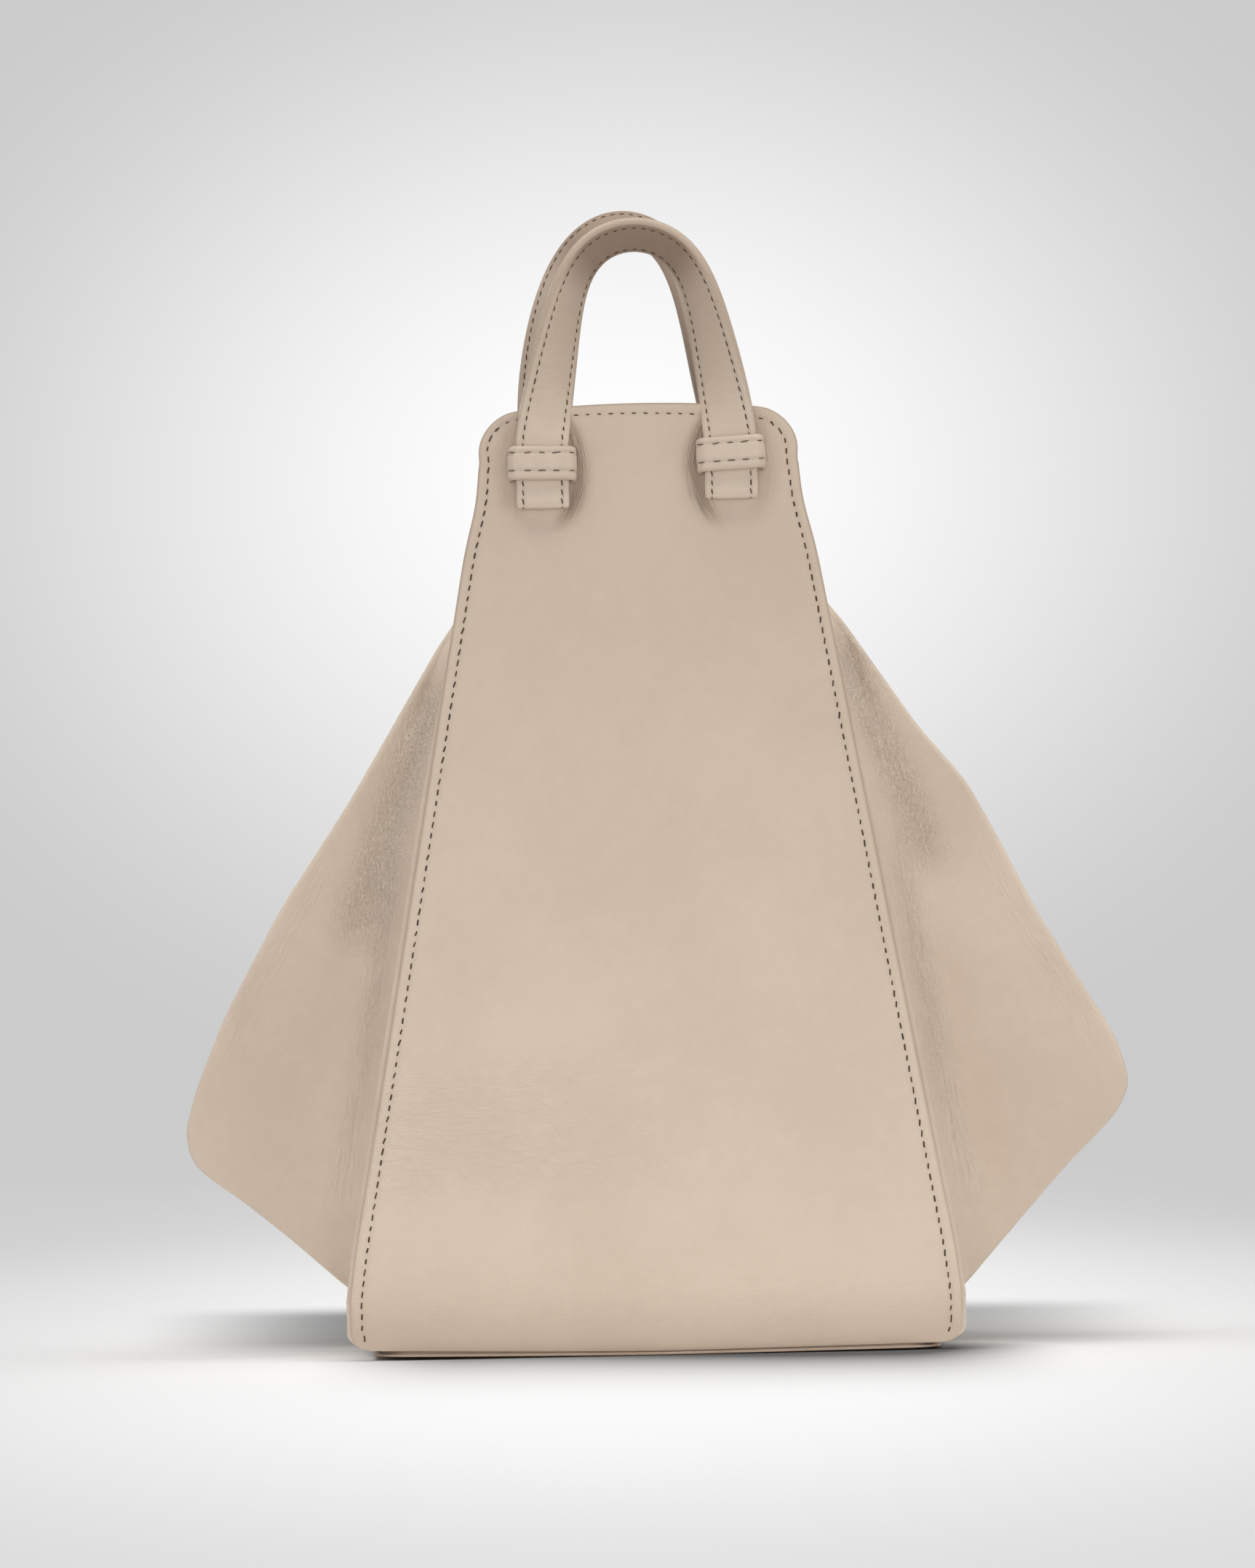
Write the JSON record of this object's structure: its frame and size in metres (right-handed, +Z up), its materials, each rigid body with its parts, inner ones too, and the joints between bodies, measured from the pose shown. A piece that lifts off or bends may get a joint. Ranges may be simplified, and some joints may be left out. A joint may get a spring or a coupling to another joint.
{
  "type": "top-handle leather bag",
  "caption": "Tapered leather bag with upright top handles, side wings that swing, and an open magnetic-snap mouth.",
  "frame": {"origin": "middle of the base's underside, on the floor", "axes": "+Z up, -Y to the front, +X to the right seen from the front"},
  "size_m": [0.3184, 0.131, 0.3847],
  "materials": {
    "beige_leather": "smooth, slightly waxed, fine grain",
    "lining_suede": "short nap",
    "stiffener_board": "bonded board",
    "snap_metal": "satin"
  },
  "bodies": {
    "shell": {"front_panel": "beige_leather", "back_panel": "beige_leather", "base_panel": "beige_leather", "base_board": "stiffener_board", "base_lining": "lining_suede", "front_rim_stiffener": "stiffener_board", "back_rim_stiffener": "stiffener_board", "front_facing": "beige_leather", "back_facing": "beige_leather", "front_lining": "lining_suede", "back_lining": "lining_suede", "inner_pocket": "lining_suede", "snap_socket": "snap_metal", "snap_stud": "snap_metal", "front_left_keeper": "beige_leather", "front_right_keeper": "beige_leather", "back_left_keeper": "beige_leather", "back_right_keeper": "beige_leather", "front_left_strap_end": "beige_leather", "front_right_strap_end": "beige_leather", "back_left_strap_end": "beige_leather", "back_right_strap_end": "beige_leather", "left_gusset": "beige_leather", "right_gusset": "beige_leather"},
    "front_handle": {"front_handle": "beige_leather"},
    "back_handle": {"back_handle": "beige_leather"},
    "left_wing": {"left_wing": "beige_leather"},
    "right_wing": {"right_wing": "beige_leather"}
  },
  "joints": [
    {"name": "front_handle_swing", "type": "hinge", "parent": "shell", "child": "front_handle", "pos_m": [0, -0.02841, 0.3088], "axis": [1, 0, 0], "range_deg": [0, 165]},
    {"name": "back_handle_swing", "type": "hinge", "parent": "shell", "child": "back_handle", "pos_m": [0, 0.02841, 0.3088], "axis": [-1, 0, 0], "range_deg": [0, 165]},
    {"name": "left_wing_swing", "type": "hinge", "parent": "shell", "child": "left_wing", "pos_m": [-0.06648, 0, 0.2412], "axis": [0.1767, 0, 0.9843], "range_deg": [-70, 70], "stiffness_Nm_per_rad": 0.03},
    {"name": "right_wing_swing", "type": "hinge", "parent": "shell", "child": "right_wing", "pos_m": [0.06648, 0, 0.2412], "axis": [0.1767, 0, -0.9843], "range_deg": [-70, 70], "stiffness_Nm_per_rad": 0.03}
  ]
}
